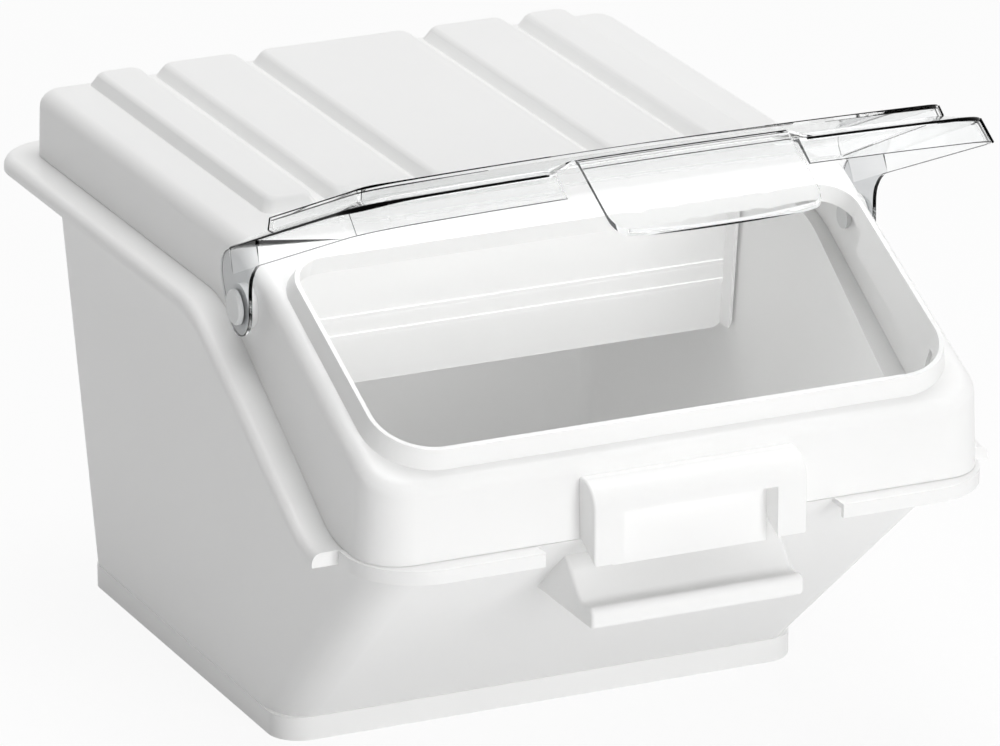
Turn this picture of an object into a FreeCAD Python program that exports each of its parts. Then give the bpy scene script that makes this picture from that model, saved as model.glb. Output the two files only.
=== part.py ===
import FreeCAD, Part
import math
import os
import Sketcher

# Shelf ingredient bin: a moulded tub with a leaning front, a ribbed hood with a
# sloping mouth, a clear flip-up door on two snap pivots and a hanging baffle.
# Millimetres, +X to the right, -Y to the front, +Z up, origin under the foot's centre.

SIZES = (
    # Tub
    ("base_width", 354.0),
    ("base_depth", 309.0),
    ("base_front_radius", 21.0),
    ("base_back_radius", 14.0),
    ("foot_height", 15.0),
    ("foot_step", 0.6),
    ("floor_thickness", 4.0),
    ("wall", 3.2),
    ("wall_flare", 17.5),
    ("front_corner_radius", 24.0),
    ("rim_height", 286.0),
    ("front_rim_height", 187.3),
    ("front_reach", 200.9),
    ("rim_bend_back", 26.5),
    ("rim_bend_radius", 86.0),
    ("rim_fall_angle", 30.4),
    ("front_bend_radius", 60.0),
    ("flange_overhang", 20.0),
    ("flange_edge", 9.0),
    ("flange_thickness", 3.2),
    ("flange_corner_radius", 37.0),
    ("flange_round", 6.5),
    ("flange_end_setback", 42.8),
    ("front_lip_overhang", 13.0),
    ("front_lip_side", 3.0),
    ("front_lip_depth", 8.7),
    ("front_lip_radius", 45.0),
    ("front_lip_gap", 196.0),
    # Pull handle on the tub's front
    ("handle_width", 140.0),
    ("handle_top_height", 171.0),
    ("handle_foot_height", 146.0),
    ("handle_foot_reach", 3.5),
    ("handle_lip_top", 150.0),
    ("handle_lip_height", 135.0),
    ("handle_lip_reach", 17.5),
    ("handle_lip_round", 4.0),
    ("handle_foot_round", 9.0),
    ("handle_wall", 3.6),
    # Hood
    ("seam_gap", 0.4),
    ("hood_width", 408.0),
    ("hood_back", 29.0),
    ("hood_draft", 3.0),
    ("hood_wall", 3.0),
    ("hood_height", 328.6),
    ("hood_front_radius", 28.0),
    ("hood_back_radius", 16.0),
    ("hood_round", 11.0),
    ("crest_setback", 195.3),
    ("crest_radius", 26.0),
    ("slope_angle", 25.7),
    ("rib_height", 8.7),
    ("rib_flank", 4.6),
    ("rib_corner_radius", 7.0),
    ("rib_back_margin", 12.6),
    ("rib_front_setback", 247.4),
    ("centre_panel_width", 101.6),
    ("side_panel_width", 49.6),
    ("outer_rib_width", 27.9),
    ("rib_groove", 17.0),
    ("mouth_side_margin", 18.6),
    ("mouth_length", 168.6),
    ("mouth_top", 29.4),
    ("mouth_rear_radius", 22.0),
    ("mouth_front_radius", 34.0),
    ("lip_height", 13.3),
    ("lip_rear_height", 10.5),
    ("lip_foot_margin", 7.0),
    ("lip_top_margin", 2.8),
    ("collar_depth", 20.0),
    ("collar_length", 104.0),
    ("block_width", 140.0),
    ("block_depth", 20.5),
    ("block_bottom", 176.7),
    ("block_top", 226.3),
    ("block_round", 16.0),
    ("recess_width", 101.0),
    ("recess_top", 210.2),
    ("plate_depth", 5.0),
    ("plate_bottom", 169.5),
    # Pivots
    ("pivot_forward", 14.9),
    ("pivot_height", 293.9),
    ("pivot_boss_radius", 14.0),
    ("pin_radius", 5.0),
    ("pin_fit", 0.06),
    ("pin_head_radius", 11.0),
    ("pin_head_thickness", 3.0),
    ("pin_bevel", 1.2),
    ("pin_collar_radius", 7.5),
    ("pin_collar_thickness", 2.5),
    ("pin_end_gap", 0.6),
    ("side_gap", 0.4),
    # Door, measured flat from the pivot axis
    ("door_open_angle", 23.8),
    ("door_wall", 2.4),
    ("ledge_wall", 2.0),
    ("door_overhang", 5.6),
    ("crease_inset", 1.4),
    ("ledge_inset", 18.2),
    ("pan_inset", 20.0),
    ("skirt_reach", 215.0),
    ("crease_reach", 204.2),
    ("ledge_reach", 182.2),
    ("pan_reach", 180.4),
    ("skirt_rise", 19.8),
    ("crease_rise", 36.0),
    ("ledge_rise", 40.8),
    ("pan_rise", 48.0),
    ("skirt_corner_radius", 30.0),
    ("crease_corner_radius", 28.0),
    ("ledge_corner_radius", 16.4),
    ("pan_corner_radius", 14.6),
    ("pan_rear_radius", 4.0),
    ("ledge_rear", 23.2),
    ("pan_rear", 25.0),
    ("band_rear", 8.0),
    ("ear_rear", 1.0),
    ("ear_band", 2.4),
    ("ear_radius", 18.0),
    ("ear_fillet", 24.0),
    ("ear_top_rise", 35.0),
    ("ear_top_radius", 17.0),
    ("ear_root", 18.0),
    ("tab_width", 136.4),
    ("tab_roof_width", 140.0),
    ("tab_foot_width", 168.0),
    ("tab_wall_run", 5.0),
    ("tab_roof_rise", 41.9),
    ("tab_bend_reach", 213.0),
    ("tab_tip_reach", 252.9),
    ("tab_drop", 49.5),
    ("tab_bend_radius", 8.0),
    ("tab_bow", 3.0),
    ("tab_bow_radius", 860.0),
    ("tab_corner_radius", 9.0),
    # Baffle
    ("baffle_setback", 124.0),
    ("baffle_thickness", 2.5),
    ("baffle_bottom", 179.8),
    ("baffle_side_gap", 2.5),
    ("baffle_flange", 15.0),
    ("baffle_corner_radius", 9.0),
    ("baffle_foot_width", 300.0),
    ("baffle_foot_depth", 12.0),
    ("bead_height", 3.0),
    ("bead_proud", 1.2),
    ("upper_bead", 222.0),
    ("lower_bead", 209.6),
    # Extra length of every cutter past the face it cuts
    ("overrun", 10.0),
)

doc = FreeCAD.newDocument("ingredient_bin")
sheet = doc.addObject("Spreadsheet::Sheet", "dim")
for row, (alias, amount) in enumerate(SIZES, start=1):
    sheet.set("A%d" % row, alias)
    sheet.set("B%d" % row, str(amount))
    sheet.setAlias("B%d" % row, alias)
doc.recompute()

# Sketch planes: side views read Y then Z, front views read X then Z
SIDE = FreeCAD.Rotation(FreeCAD.Vector(0, 1, 0), FreeCAD.Vector(0, 0, 1), FreeCAD.Vector(1, 0, 0), "XYZ")
FRONT = FreeCAD.Rotation(FreeCAD.Vector(1, 0, 0), 90)
SQUARE = "0"

# Shares of a face's normal that tell tops from sides
TOP_SHARE = 0.3
LEAN_SHARE = 0.8

# Places that several pieces share, as expressions on the sheet
BASE_FRONT = "(-dim.base_depth / 2)"
BASE_BACK = "(dim.base_depth / 2)"
HOOD_FRONT = "(-dim.base_depth / 2 - dim.front_reach)"
HOOD_BACK = "(dim.base_depth / 2 + dim.hood_back)"
FAR_FRONT = "(-dim.base_depth / 2 - dim.front_reach - dim.flange_overhang - dim.overrun)"
FAR_BACK = "(dim.base_depth / 2 + dim.hood_back + dim.flange_overhang + dim.overrun)"
WIDE = "(dim.hood_width + 2 * dim.flange_overhang + 2 * dim.overrun)"
BEND_Y = "(dim.rim_bend_back - dim.base_depth / 2)"
FRONT_BEND_Y = "(%s - (dim.rim_height - dim.front_rim_height) / tan(dim.rim_fall_angle))" % BEND_Y
FLANGE_END = "(%s + dim.flange_end_setback)" % HOOD_FRONT
CREST_Y = "(%s + dim.crest_setback)" % HOOD_FRONT
HOOD_CLIMB = "(dim.hood_height - dim.front_rim_height)"
PIVOT_Y = "(%s - dim.pivot_forward)" % BASE_FRONT
MOUTH_HALF = "(dim.hood_width / 2 - dim.mouth_side_margin)"
DOOR_HALF = "(dim.hood_width / 2 + dim.door_overhang)"
CREASE_HALF = "(%s - dim.crease_inset)" % DOOR_HALF
LEDGE_HALF = "(%s - dim.ledge_inset)" % DOOR_HALF
PAN_HALF = "(%s - dim.pan_inset)" % DOOR_HALF
EAR_INSIDE = "(%s - dim.door_wall)" % DOOR_HALF


def number(text):
    """Value of an expression on the sheet."""
    return float(sheet.evalExpression(text))


def outline(name, corners):
    """Closed sketch through corners of (x, y, radius), each an expression bound to its constraint."""
    sketch = doc.addObject("Sketcher::SketchObject", name)
    count = len(corners)
    points = [FreeCAD.Vector(number(x), number(y), 0) for x, y, radius in corners]
    arrivals, departures, centres, turns = [], [], [], []
    for index, point in enumerate(points):
        before = (points[index - 1] - point).normalize()
        after = (points[(index + 1) % count] - point).normalize()
        half = before.getAngle(after) / 2
        radius = number(corners[index][2])
        arrivals.append(point + before * (radius / math.tan(half)))
        departures.append(point + after * (radius / math.tan(half)))
        centres.append(point + (before + after).normalize() * (radius / math.sin(half)))
        turns.append((before * -1).cross(after).z)
    for index in range(count):
        sketch.addGeometry(Part.LineSegment(departures[index], arrivals[(index + 1) % count]))

    def pin(geometry, spot, index):
        """Hold a point at a corner's place."""
        for axis, text in zip("XY", corners[index]):
            place = Sketcher.Constraint("Distance" + axis, -1, 1, geometry, spot, number(text))
            sketch.setExpression("Constraints[%d]" % sketch.addConstraint(place), text)

    for index, (x, y, radius) in enumerate(corners):
        incoming = (index - 1) % count
        if radius == SQUARE:
            sketch.addConstraint(Sketcher.Constraint("Coincident", incoming, 2, index, 1))
            pin(index, 1, index)
            continue
        left_turn = turns[index] > 0
        first, last = (arrivals, departures) if left_turn else (departures, arrivals)
        start = first[index] - centres[index]
        finish = last[index] - centres[index]
        begin_angle = math.atan2(start.y, start.x)
        end_angle = math.atan2(finish.y, finish.x)
        if end_angle < begin_angle:
            end_angle += 2 * math.pi
        circle = Part.Circle(centres[index], FreeCAD.Vector(0, 0, 1), number(radius))
        arc = sketch.addGeometry(Part.ArcOfCircle(circle, begin_angle, end_angle))
        corner = sketch.addGeometry(Part.Point(points[index]), True)
        near, far = (1, 2) if left_turn else (2, 1)
        sketch.addConstraint(Sketcher.Constraint("Tangent", incoming, 2, arc, near))
        sketch.addConstraint(Sketcher.Constraint("Tangent", arc, far, index, 1))
        sketch.addConstraint(Sketcher.Constraint("PointOnObject", corner, 1, incoming))
        sketch.addConstraint(Sketcher.Constraint("PointOnObject", corner, 1, index))
        bend = Sketcher.Constraint("Radius", arc, number(radius))
        sketch.setExpression("Constraints[%d]" % sketch.addConstraint(bend), radius)
        pin(corner, 1, index)
    return sketch


def plan(name, half, front, back, front_radius, back_radius, height):
    """Level outline, symmetric about the middle plane."""
    minus = "(-(%s))" % half
    corners = [(minus, front, front_radius), (half, front, front_radius),
               (half, back, back_radius), (minus, back, back_radius)]
    sketch = outline(name, corners)
    sketch.setExpression("Placement.Base.z", height)
    return sketch


def side_view(name, corners):
    """Outline in the Y-Z plane."""
    sketch = outline(name, corners)
    sketch.Placement = FreeCAD.Placement(FreeCAD.Vector(), SIDE)
    return sketch


def extrude(name, sketch, length, symmetric=False):
    """Straight prism on a sketch."""
    prism = doc.addObject("Part::Extrusion", name)
    prism.Base = sketch
    prism.DirMode = "Normal"
    prism.Solid = True
    prism.Symmetric = symmetric
    prism.setExpression("LengthFwd", length)
    return prism


def loft(name, lower, upper):
    """Straight-sided solid between two outlines."""
    solid = doc.addObject("Part::Loft", name)
    solid.Sections = [lower, upper]
    solid.Solid = True
    solid.Ruled = True
    return solid


def box(name, low, high):
    """Box between two corners given as expressions."""
    solid = doc.addObject("Part::Box", name)
    for axis, side, start, end in zip("xyz", ("Length", "Width", "Height"), low, high):
        solid.setExpression("Placement.Base." + axis, start)
        solid.setExpression(side, "(%s) - (%s)" % (end, start))
    return solid


def join(name, pieces):
    solid = doc.addObject("Part::MultiFuse", name)
    solid.Shapes = pieces
    return solid


def overlap(name, pieces):
    solid = doc.addObject("Part::MultiCommon", name)
    solid.Shapes = pieces
    return solid


def cut(name, base, tool):
    solid = doc.addObject("Part::Cut", name)
    solid.Base = base
    solid.Tool = tool
    return solid


def upright(face):
    """Upward part of a face's normal at its middle."""
    low_u, high_u, low_v, high_v = face.ParameterRange
    return face.normalAt((low_u + high_u) / 2, (low_v + high_v) / 2).z


def rounded(name, base, radius_for, kind="Part::Fillet"):
    """Fillet or chamfer each edge that gets a size from a test of the edge and its two faces."""
    doc.recompute()
    shape = base.Shape
    edges = []
    for index, edge in enumerate(shape.Edges, start=1):
        faces = shape.ancestorsOfType(edge, Part.Face)
        radius = radius_for(edge, faces) if len(faces) == 2 else None
        if radius:
            edges.append((index, number(radius), number(radius)))
    solid = doc.addObject(kind, name)
    solid.Base = base
    solid.Edges = edges
    return solid


def brow(faces):
    """True where a top face meets a side face."""
    rises = sorted(upright(face) for face in faces)
    return rises[1] > TOP_SHARE and abs(rises[0]) < TOP_SHARE


def climbing(edge, faces):
    """True where two side faces meet in an edge that climbs."""
    ends = [vertex.Point.z for vertex in edge.Vertexes]
    sides = all(abs(upright(face)) < LEAN_SHARE for face in faces)
    return sides and max(ends) - min(ends) > number("dim.foot_height")


# Tub

def rim_line(drop):
    """Rim seen from the side, front to back: low lip, slope, level back."""
    low = "(dim.front_rim_height - (%s))" % drop
    high = "(dim.rim_height - (%s))" % drop
    return [(FAR_FRONT, low, SQUARE), (FRONT_BEND_Y, low, "dim.front_bend_radius"),
            (BEND_Y, high, "dim.rim_bend_radius"), (FAR_BACK, high, SQUARE)]


def trapezoid(name, low_half, high_half, low, high):
    """Prism from front to back with leaning sides."""
    corners = [("-(%s)" % low_half, low, SQUARE), (low_half, low, SQUARE),
               (high_half, high, SQUARE), ("-(%s)" % high_half, high, SQUARE)]
    sketch = outline(name + "_line", corners)
    sketch.Placement = FreeCAD.Placement(FreeCAD.Vector(), FRONT)
    sketch.setExpression("Placement.Base.y", FAR_BACK)
    return extrude(name, sketch, "%s - %s" % (FAR_BACK, FAR_FRONT))


def tub_walls(name, inset, profile):
    """Flared sides cut to a side profile, with the corners rounded."""
    spread = "dim.wall_flare * (1 + dim.overrun / (dim.rim_height - dim.foot_height))"
    half = "(dim.base_width / 2 - (%s))" % inset
    sides = trapezoid(name + "_flare", half, "%s + %s" % (half, spread),
                      "dim.foot_height", "dim.rim_height + dim.overrun")
    prism = extrude(name + "_side", side_view(name + "_side_line", profile), WIDE, True)

    def corner(edge, faces):
        if not climbing(edge, faces):
            return None
        front = edge.CenterOfMass.y < 0
        return "%s - (%s)" % ("dim.front_corner_radius" if front else "dim.base_back_radius", inset)

    return rounded(name, overlap(name + "_block", [sides, prism]), corner)


def make_tub():
    lean = "atan2(dim.front_rim_height - dim.foot_height; dim.front_reach + dim.foot_step)"
    shift = "(dim.wall / sin(%s))" % lean
    outside = [(BASE_FRONT + " + dim.foot_step", "dim.foot_height", SQUARE),
               (BASE_BACK + " - dim.foot_step", "dim.foot_height", SQUARE),
               (BASE_BACK + " - dim.foot_step + dim.wall_flare", "dim.rim_height", SQUARE)]
    outside += rim_line("0")[2:0:-1]
    outside += [(HOOD_FRONT, "dim.front_rim_height", SQUARE)]
    top = "(dim.rim_height + dim.overrun)"
    front_top = "(%s + dim.foot_step + %s - (%s - dim.foot_height) / tan(%s))" % (
        BASE_FRONT, shift, top, lean)
    spread = "dim.wall_flare * (1 + dim.overrun / (dim.rim_height - dim.foot_height))"
    inset = "dim.foot_step + dim.wall"
    inside = [("%s + dim.foot_step + %s" % (BASE_FRONT, shift), "dim.foot_height", SQUARE),
              ("%s - (%s)" % (BASE_BACK, inset), "dim.foot_height", SQUARE),
              ("%s - (%s) + %s" % (BASE_BACK, inset, spread), top, SQUARE), (front_top, top, SQUARE)]
    walls = tub_walls("walls", "dim.foot_step", outside)
    cavity = tub_walls("cavity", inset, inside)
    foot = extrude("foot", plan("foot_outline", "dim.base_width / 2", BASE_FRONT, BASE_BACK,
                                "dim.base_front_radius", "dim.base_back_radius", "0"), "dim.foot_height")
    ledge = "dim.wall + 2 * dim.foot_step"
    well = extrude("well", plan("well_outline", "dim.base_width / 2 - (%s)" % ledge,
                                "%s + 2 * dim.foot_step + %s" % (BASE_FRONT, shift),
                                "%s - (%s)" % (BASE_BACK, ledge), "dim.front_corner_radius / sin(%s)" % lean,
                                "dim.base_back_radius - dim.wall", "dim.floor_thickness"),
                   "dim.foot_height - dim.floor_thickness + dim.foot_step")
    shell = join("tub_shell", [walls, foot, make_flange(), make_front_lip(), make_handle()])
    tub = cut("tub_body", shell, join("tub_hollow", [cavity, well]))
    tub.Label = "tub"
    return tub


def make_flange():
    """Rim flange with a turned-down edge, level at the back and falling to the front."""
    def layer(name, inset, top, bottom):
        lower = rim_line(bottom)
        upper = rim_line(top)[::-1]
        strip = extrude(name + "_strip", side_view(name + "_strip_line", lower + upper), WIDE, True)
        ring = plan(name + "_ring_line", "dim.hood_width / 2 + dim.flange_overhang - (%s)" % inset,
                    "%s + (%s)" % (FLANGE_END, inset),
                    "%s + dim.flange_overhang - (%s)" % (HOOD_BACK, inset),
                    SQUARE, "dim.flange_corner_radius - (%s)" % inset, "0")
        ring_prism = extrude(name + "_ring", ring, "dim.rim_height + dim.overrun")
        return overlap(name, [strip, ring_prism])

    def outer_brow(edge, faces):
        clear_of_end = edge.CenterOfMass.y > number(FLANGE_END + " + dim.flange_round")
        return "dim.flange_round" if brow(faces) and clear_of_end else None

    solid = rounded("flange_solid", layer("flange_block", "0", "0", "dim.flange_edge"), outer_brow)
    hollow = layer("flange_hollow", "dim.flange_thickness", "dim.flange_thickness",
                   "dim.flange_edge + dim.overrun")
    return cut("flange", solid, hollow)


def make_front_lip():
    """Small turned-down lip round the front corners, left open in the middle for the handle."""
    def layer(name, inset, low, height):
        line = plan(name + "_line", "dim.hood_width / 2 + dim.front_lip_side - (%s)" % inset,
                    "%s - dim.front_lip_overhang + (%s)" % (HOOD_FRONT, inset),
                    FLANGE_END + " + dim.overrun", "dim.front_lip_radius - (%s)" % inset, SQUARE, low)
        return extrude(name, line, height)

    floor = "dim.front_rim_height - dim.front_lip_depth"
    solid = layer("front_lip_block", "0", floor, "dim.front_lip_depth")
    hollow = layer("front_lip_hollow", "dim.wall", floor, "dim.front_lip_depth - dim.wall")
    gap = box("front_lip_opening", ("-dim.front_lip_gap / 2", FAR_FRONT, floor + " - dim.overrun"),
              ("dim.front_lip_gap / 2", FLANGE_END + " + 2 * dim.overrun",
               "dim.front_rim_height + dim.overrun"))
    return cut("front_lip", solid, join("front_lip_waste", [hollow, gap]))


def make_handle():
    """Pull under the front lip: a sloping face that ends in a thick lip, open below for the fingers."""
    rise = "(dim.front_rim_height - dim.foot_height)"
    fall = "(dim.front_rim_height - dim.handle_top_height)"
    top = "(%s + dim.wall / 2 + %s * (dim.front_reach + dim.foot_step) / %s)" % (HOOD_FRONT, fall, rise)
    foot = "(%s - dim.handle_foot_reach)" % HOOD_FRONT
    lip = "(%s - dim.handle_lip_reach)" % HOOD_FRONT
    run = "(%s - %s)" % (top, foot)
    drop = "(dim.handle_top_height - dim.handle_foot_height)"
    shift = "(dim.handle_wall * sqrt(%s * %s + %s * %s) / %s)" % (run, run, drop, drop, drop)
    below = "dim.handle_lip_height - dim.overrun"
    ceiling = "dim.handle_foot_height - dim.handle_wall"
    outside = [(BASE_FRONT, "dim.handle_top_height", SQUARE), (BASE_FRONT, "dim.handle_lip_height", SQUARE),
               (lip, "dim.handle_lip_height", "dim.handle_lip_round"),
               (lip, "dim.handle_lip_top", "dim.handle_lip_round"),
               (foot, "dim.handle_foot_height", "dim.handle_foot_round"),
               (top, "dim.handle_top_height", SQUARE)]
    inside = [(BASE_FRONT, "dim.handle_top_height", SQUARE), (BASE_FRONT, below, SQUARE),
              (lip + " + dim.handle_wall", below, SQUARE), (lip + " + dim.handle_wall", ceiling, SQUARE),
              ("%s + %s - dim.handle_wall * %s / %s" % (foot, shift, run, drop), ceiling, SQUARE),
              ("%s + %s" % (top, shift), "dim.handle_top_height", SQUARE)]
    solid = extrude("handle_block", side_view("handle_side_line", outside), "dim.handle_width", True)
    hollow = extrude("handle_hollow", side_view("handle_hollow_line", inside),
                     "dim.handle_width - 2 * dim.handle_wall", True)
    wall = box("handle_back", ("-dim.handle_width", BASE_FRONT + " - dim.front_reach / 2", "0"),
               ("dim.handle_width", BASE_BACK, "dim.rim_height"))
    return cut("handle", solid, join("handle_waste", [hollow, wall]))


# Hood

def drafted(side, inset, height):
    """Half width, front or back of the hood at a height."""
    lean = "((%s) + dim.hood_draft * ((%s) - dim.front_rim_height) / %s)" % (inset, height, HOOD_CLIMB)
    return {"half": "(dim.hood_width / 2 - %s)" % lean, "front": "(%s + %s)" % (HOOD_FRONT, lean),
            "back": "(%s - %s)" % (HOOD_BACK, lean)}[side]


def slope_end(inset, drop):
    """Corner where the mouth's slope, lowered by a drop, meets the hood's front."""
    fall = "(dim.hood_draft * tan(dim.slope_angle) / %s)" % HOOD_CLIMB
    run = "(%s - %s - (%s))" % (CREST_Y, HOOD_FRONT, inset)
    start = "(dim.hood_height - (%s) - %s * tan(dim.slope_angle))" % (drop, run)
    height = "((%s - dim.front_rim_height * %s) / (1 - %s))" % (start, fall, fall)
    return drafted("front", inset, height), height, SQUARE


def hood_block(name, inset, profile, upper_size, upper_kind):
    """Drafted sides cut to a side profile, with upright corners rounded and upper edges eased."""
    low = "(dim.front_rim_height - 2 * dim.overrun)"
    high = "(dim.hood_height + dim.overrun)"
    sides = trapezoid(name + "_draft", drafted("half", inset, low), drafted("half", inset, high), low, high)
    prism = extrude(name + "_side", side_view(name + "_side_line", profile), WIDE, True)

    def corner(edge, faces):
        if not climbing(edge, faces):
            return None
        front = edge.CenterOfMass.y < number(CREST_Y)
        return "%s - (%s)" % ("dim.hood_front_radius" if front else "dim.hood_back_radius", inset)

    def upper(edge, faces):
        return upper_size if brow(faces) else None

    upright_block = rounded(name + "_corners", overlap(name + "_block", [sides, prism]), corner)
    return rounded(name, upright_block, upper, upper_kind)


def make_hood():
    seat = "(dim.front_rim_height + dim.seam_gap)"
    back_seat = "(dim.rim_height + dim.seam_gap)"
    outside = [(drafted("front", "0", seat), seat, SQUARE)] + rim_line("-dim.seam_gap")[1:3]
    outside += [(drafted("back", "0", back_seat), back_seat, SQUARE),
                (drafted("back", "0", "dim.hood_height"), "dim.hood_height", SQUARE),
                (CREST_Y, "dim.hood_height", "dim.crest_radius"), slope_end("0", "0")]
    below = "(dim.front_rim_height - dim.overrun)"
    ceiling = "(dim.hood_height - dim.hood_wall)"
    wall = "dim.hood_wall"
    inside = [(drafted("front", wall, below), below, SQUARE), (drafted("back", wall, below), below, SQUARE),
              (drafted("back", wall, ceiling), ceiling, SQUARE),
              ("%s + dim.hood_wall * tan(dim.slope_angle / 2)" % CREST_Y, ceiling,
               "dim.crest_radius - dim.hood_wall"),
              slope_end(wall, "dim.hood_wall / cos(dim.slope_angle)")]
    outer = hood_block("hood_outside", "0", outside, "dim.hood_round", "Part::Fillet")
    inner = hood_block("hood_inside", wall, inside, "dim.hood_round / 2", "Part::Chamfer")
    ribs, grooves = make_ribs()
    shell = cut("hood_shell", join("hood_ribbed", [outer] + ribs), join("hood_hollow", [inner] + grooves))
    lip, mouth, collars = make_mouth()
    pieces = [shell, lip, make_block()] + collars + [pivot_boss(side) for side in (-1, 1)]
    holes = [mouth] + [pivot_hole(side) for side in (-1, 1)]
    hood = cut("hood_body", join("hood_solid", pieces), join("hood_holes", holes))
    hood.Label = "hood"
    return hood


def make_ribs():
    """Raised roof panels with sloping flanks, and the hollows under them."""
    side_x = "(dim.centre_panel_width / 2 + dim.rib_groove + dim.side_panel_width / 2)"
    outer_x = "(%s + dim.side_panel_width / 2 + dim.rib_groove + dim.outer_rib_width / 2)" % side_x
    places = [("centre_panel", "0", "dim.centre_panel_width"),
              ("left_panel", "-" + side_x, "dim.side_panel_width"),
              ("right_panel", side_x, "dim.side_panel_width"),
              ("left_rib", "-" + outer_x, "dim.outer_rib_width"),
              ("right_rib", outer_x, "dim.outer_rib_width")]
    front = "(%s + dim.rib_front_setback)" % HOOD_FRONT
    back = "(%s - dim.hood_draft - dim.rib_back_margin)" % HOOD_BACK
    flank = "dim.rib_flank / dim.rib_height"

    def mound(name, centre, width, inset, low, high, radius):
        sketches = []
        for end, height in (("foot", low), ("top", high)):
            grow = "((dim.hood_height + dim.rib_height - (%s)) * %s - (%s))" % (height, flank, inset)
            sketch = plan("%s_%s" % (name, end), "%s / 2 + %s" % (width, grow),
                          "%s - %s" % (front, grow), "%s + %s" % (back, grow),
                          radius, radius, height)
            sketch.setExpression("Placement.Base.x", centre)
            sketches.append(sketch)
        return loft(name, sketches[0], sketches[1])

    ribs, grooves = [], []
    for name, centre, width in places:
        ribs.append(mound(name, centre, width, "0", "dim.hood_height - dim.hood_wall / 2",
                          "dim.hood_height + dim.rib_height", "dim.rib_corner_radius"))
        grooves.append(mound(name + "_hollow", centre, width, "dim.hood_wall",
                             "dim.hood_height - 2 * dim.hood_wall",
                             "dim.hood_height + dim.rib_height - dim.hood_wall", SQUARE))
    return ribs, grooves


def tilt(item, lift, ease="0"):
    """Lay an object on the mouth's slope from the crest, raised square to it and eased by an angle."""
    angle = "dim.slope_angle - (%s)" % ease
    item.Placement.Rotation = FreeCAD.Rotation(FreeCAD.Vector(1, 0, 0), number(angle))
    item.setExpression("Placement.Rotation.Angle", angle)
    item.setExpression("Placement.Base.y", "%s - sin(dim.slope_angle) * (%s)" % (CREST_Y, lift))
    item.setExpression("Placement.Base.z", "dim.hood_height + cos(dim.slope_angle) * (%s)" % lift)
    return item


def make_mouth():
    """Raised lip round the mouth, the opening itself and the collars along its sides."""
    def ring(name, margin, lift, ease="0"):
        bottom = "-(dim.mouth_top + dim.mouth_length + (%s))" % margin
        top = "(%s) - dim.mouth_top" % margin
        front_radius = "dim.mouth_front_radius + (%s)" % margin
        rear_radius = "dim.mouth_rear_radius + (%s)" % margin
        half = "%s + (%s)" % (MOUTH_HALF, margin)
        return tilt(plan(name, half, bottom, top, front_radius, rear_radius, "0"),
                    lift, ease)

    climb = "((dim.lip_height - dim.lip_rear_height) / dim.mouth_length)"
    lip = loft("lip", ring("lip_foot_line", "dim.lip_foot_margin", "-dim.hood_wall"),
               ring("lip_top_line", "dim.lip_top_margin", "dim.lip_rear_height - dim.mouth_top * " + climb,
                    "asin(%s) / (1 deg)" % climb))
    mouth = extrude("mouth", ring("mouth_line", "0", "-dim.collar_depth - dim.overrun"),
                    "dim.collar_depth + dim.lip_height + 2 * dim.overrun")
    collars = []
    for name, side in (("left_collar", -1), ("right_collar", 1)):
        middle = "(dim.mouth_top + dim.mouth_length / 2)"
        plate = plan(name + "_line", "dim.hood_wall / 2", "-%s - dim.collar_length / 2" % middle,
                     "-%s + dim.collar_length / 2" % middle, SQUARE, SQUARE, "0")
        tilt(plate, "-dim.collar_depth")
        plate.setExpression("Placement.Base.x", "%d * (%s + dim.hood_wall / 2)" % (side, MOUTH_HALF))
        collars.append(extrude(name, plate, "dim.collar_depth"))
    return lip, mouth, collars


def make_block():
    """Front block: two legs with rising undersides, and a plate set back between them."""
    inside = "%s + dim.hood_wall / 2" % HOOD_FRONT
    face = "%s - dim.block_depth" % HOOD_FRONT
    seat = "dim.front_rim_height + dim.seam_gap"
    plate_face = "%s - dim.plate_depth" % HOOD_FRONT
    line = side_view("block_line", [(face, "dim.block_bottom", SQUARE),
                                    (HOOD_FRONT + " - dim.side_gap", seat, SQUARE), (inside, seat, SQUARE),
                                    (inside, "dim.block_top", SQUARE),
                                     (face, "dim.block_top", "dim.block_round")])
    solid = extrude("block_solid", line, "dim.block_width", True)
    recess = box("block_recess", ("-dim.recess_width / 2", FAR_FRONT, "dim.block_bottom - dim.overrun"),
                 ("dim.recess_width / 2", plate_face, "dim.recess_top"))
    plate = box("block_plate", ("-dim.recess_width / 2", plate_face, "dim.plate_bottom"),
                ("dim.recess_width / 2", plate_face + " + dim.hood_wall", seat + " + dim.hood_wall"))
    return join("front_block", [cut("block_legs", solid, recess), plate])


def crosswise(name, radius, start, end):
    """Round bar along X on the pivot axis."""
    bar = doc.addObject("Part::Cylinder", name)
    bar.setExpression("Radius", radius)
    bar.setExpression("Height", "(%s) - (%s)" % (end, start))
    bar.Placement.Rotation = FreeCAD.Rotation(FreeCAD.Vector(0, 1, 0), 90)
    bar.setExpression("Placement.Base.x", start)
    bar.setExpression("Placement.Base.y", PIVOT_Y)
    bar.setExpression("Placement.Base.z", "dim.pivot_height")
    return bar


def pivot_boss(side):
    """Round pad on the hood's side that the door's ear turns against."""
    root = "dim.hood_width / 2 - dim.hood_draft - dim.hood_wall / 2"
    ends = [root, "%s - dim.side_gap" % EAR_INSIDE]
    if side < 0:
        ends = ["-(%s)" % text for text in reversed(ends)]
    return crosswise("pivot_boss_%s" % ("left" if side < 0 else "right"), "dim.pivot_boss_radius", *ends)


def pivot_hole(side):
    ends = ["dim.hood_width / 2 - dim.hood_draft - dim.hood_wall - dim.overrun", DOOR_HALF + " + dim.overrun"]
    if side < 0:
        ends = ["-(%s)" % text for text in reversed(ends)]
    return crosswise("pivot_hole_%s" % ("left" if side < 0 else "right"), "dim.pin_radius", *ends)


# Pivot pins

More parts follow.
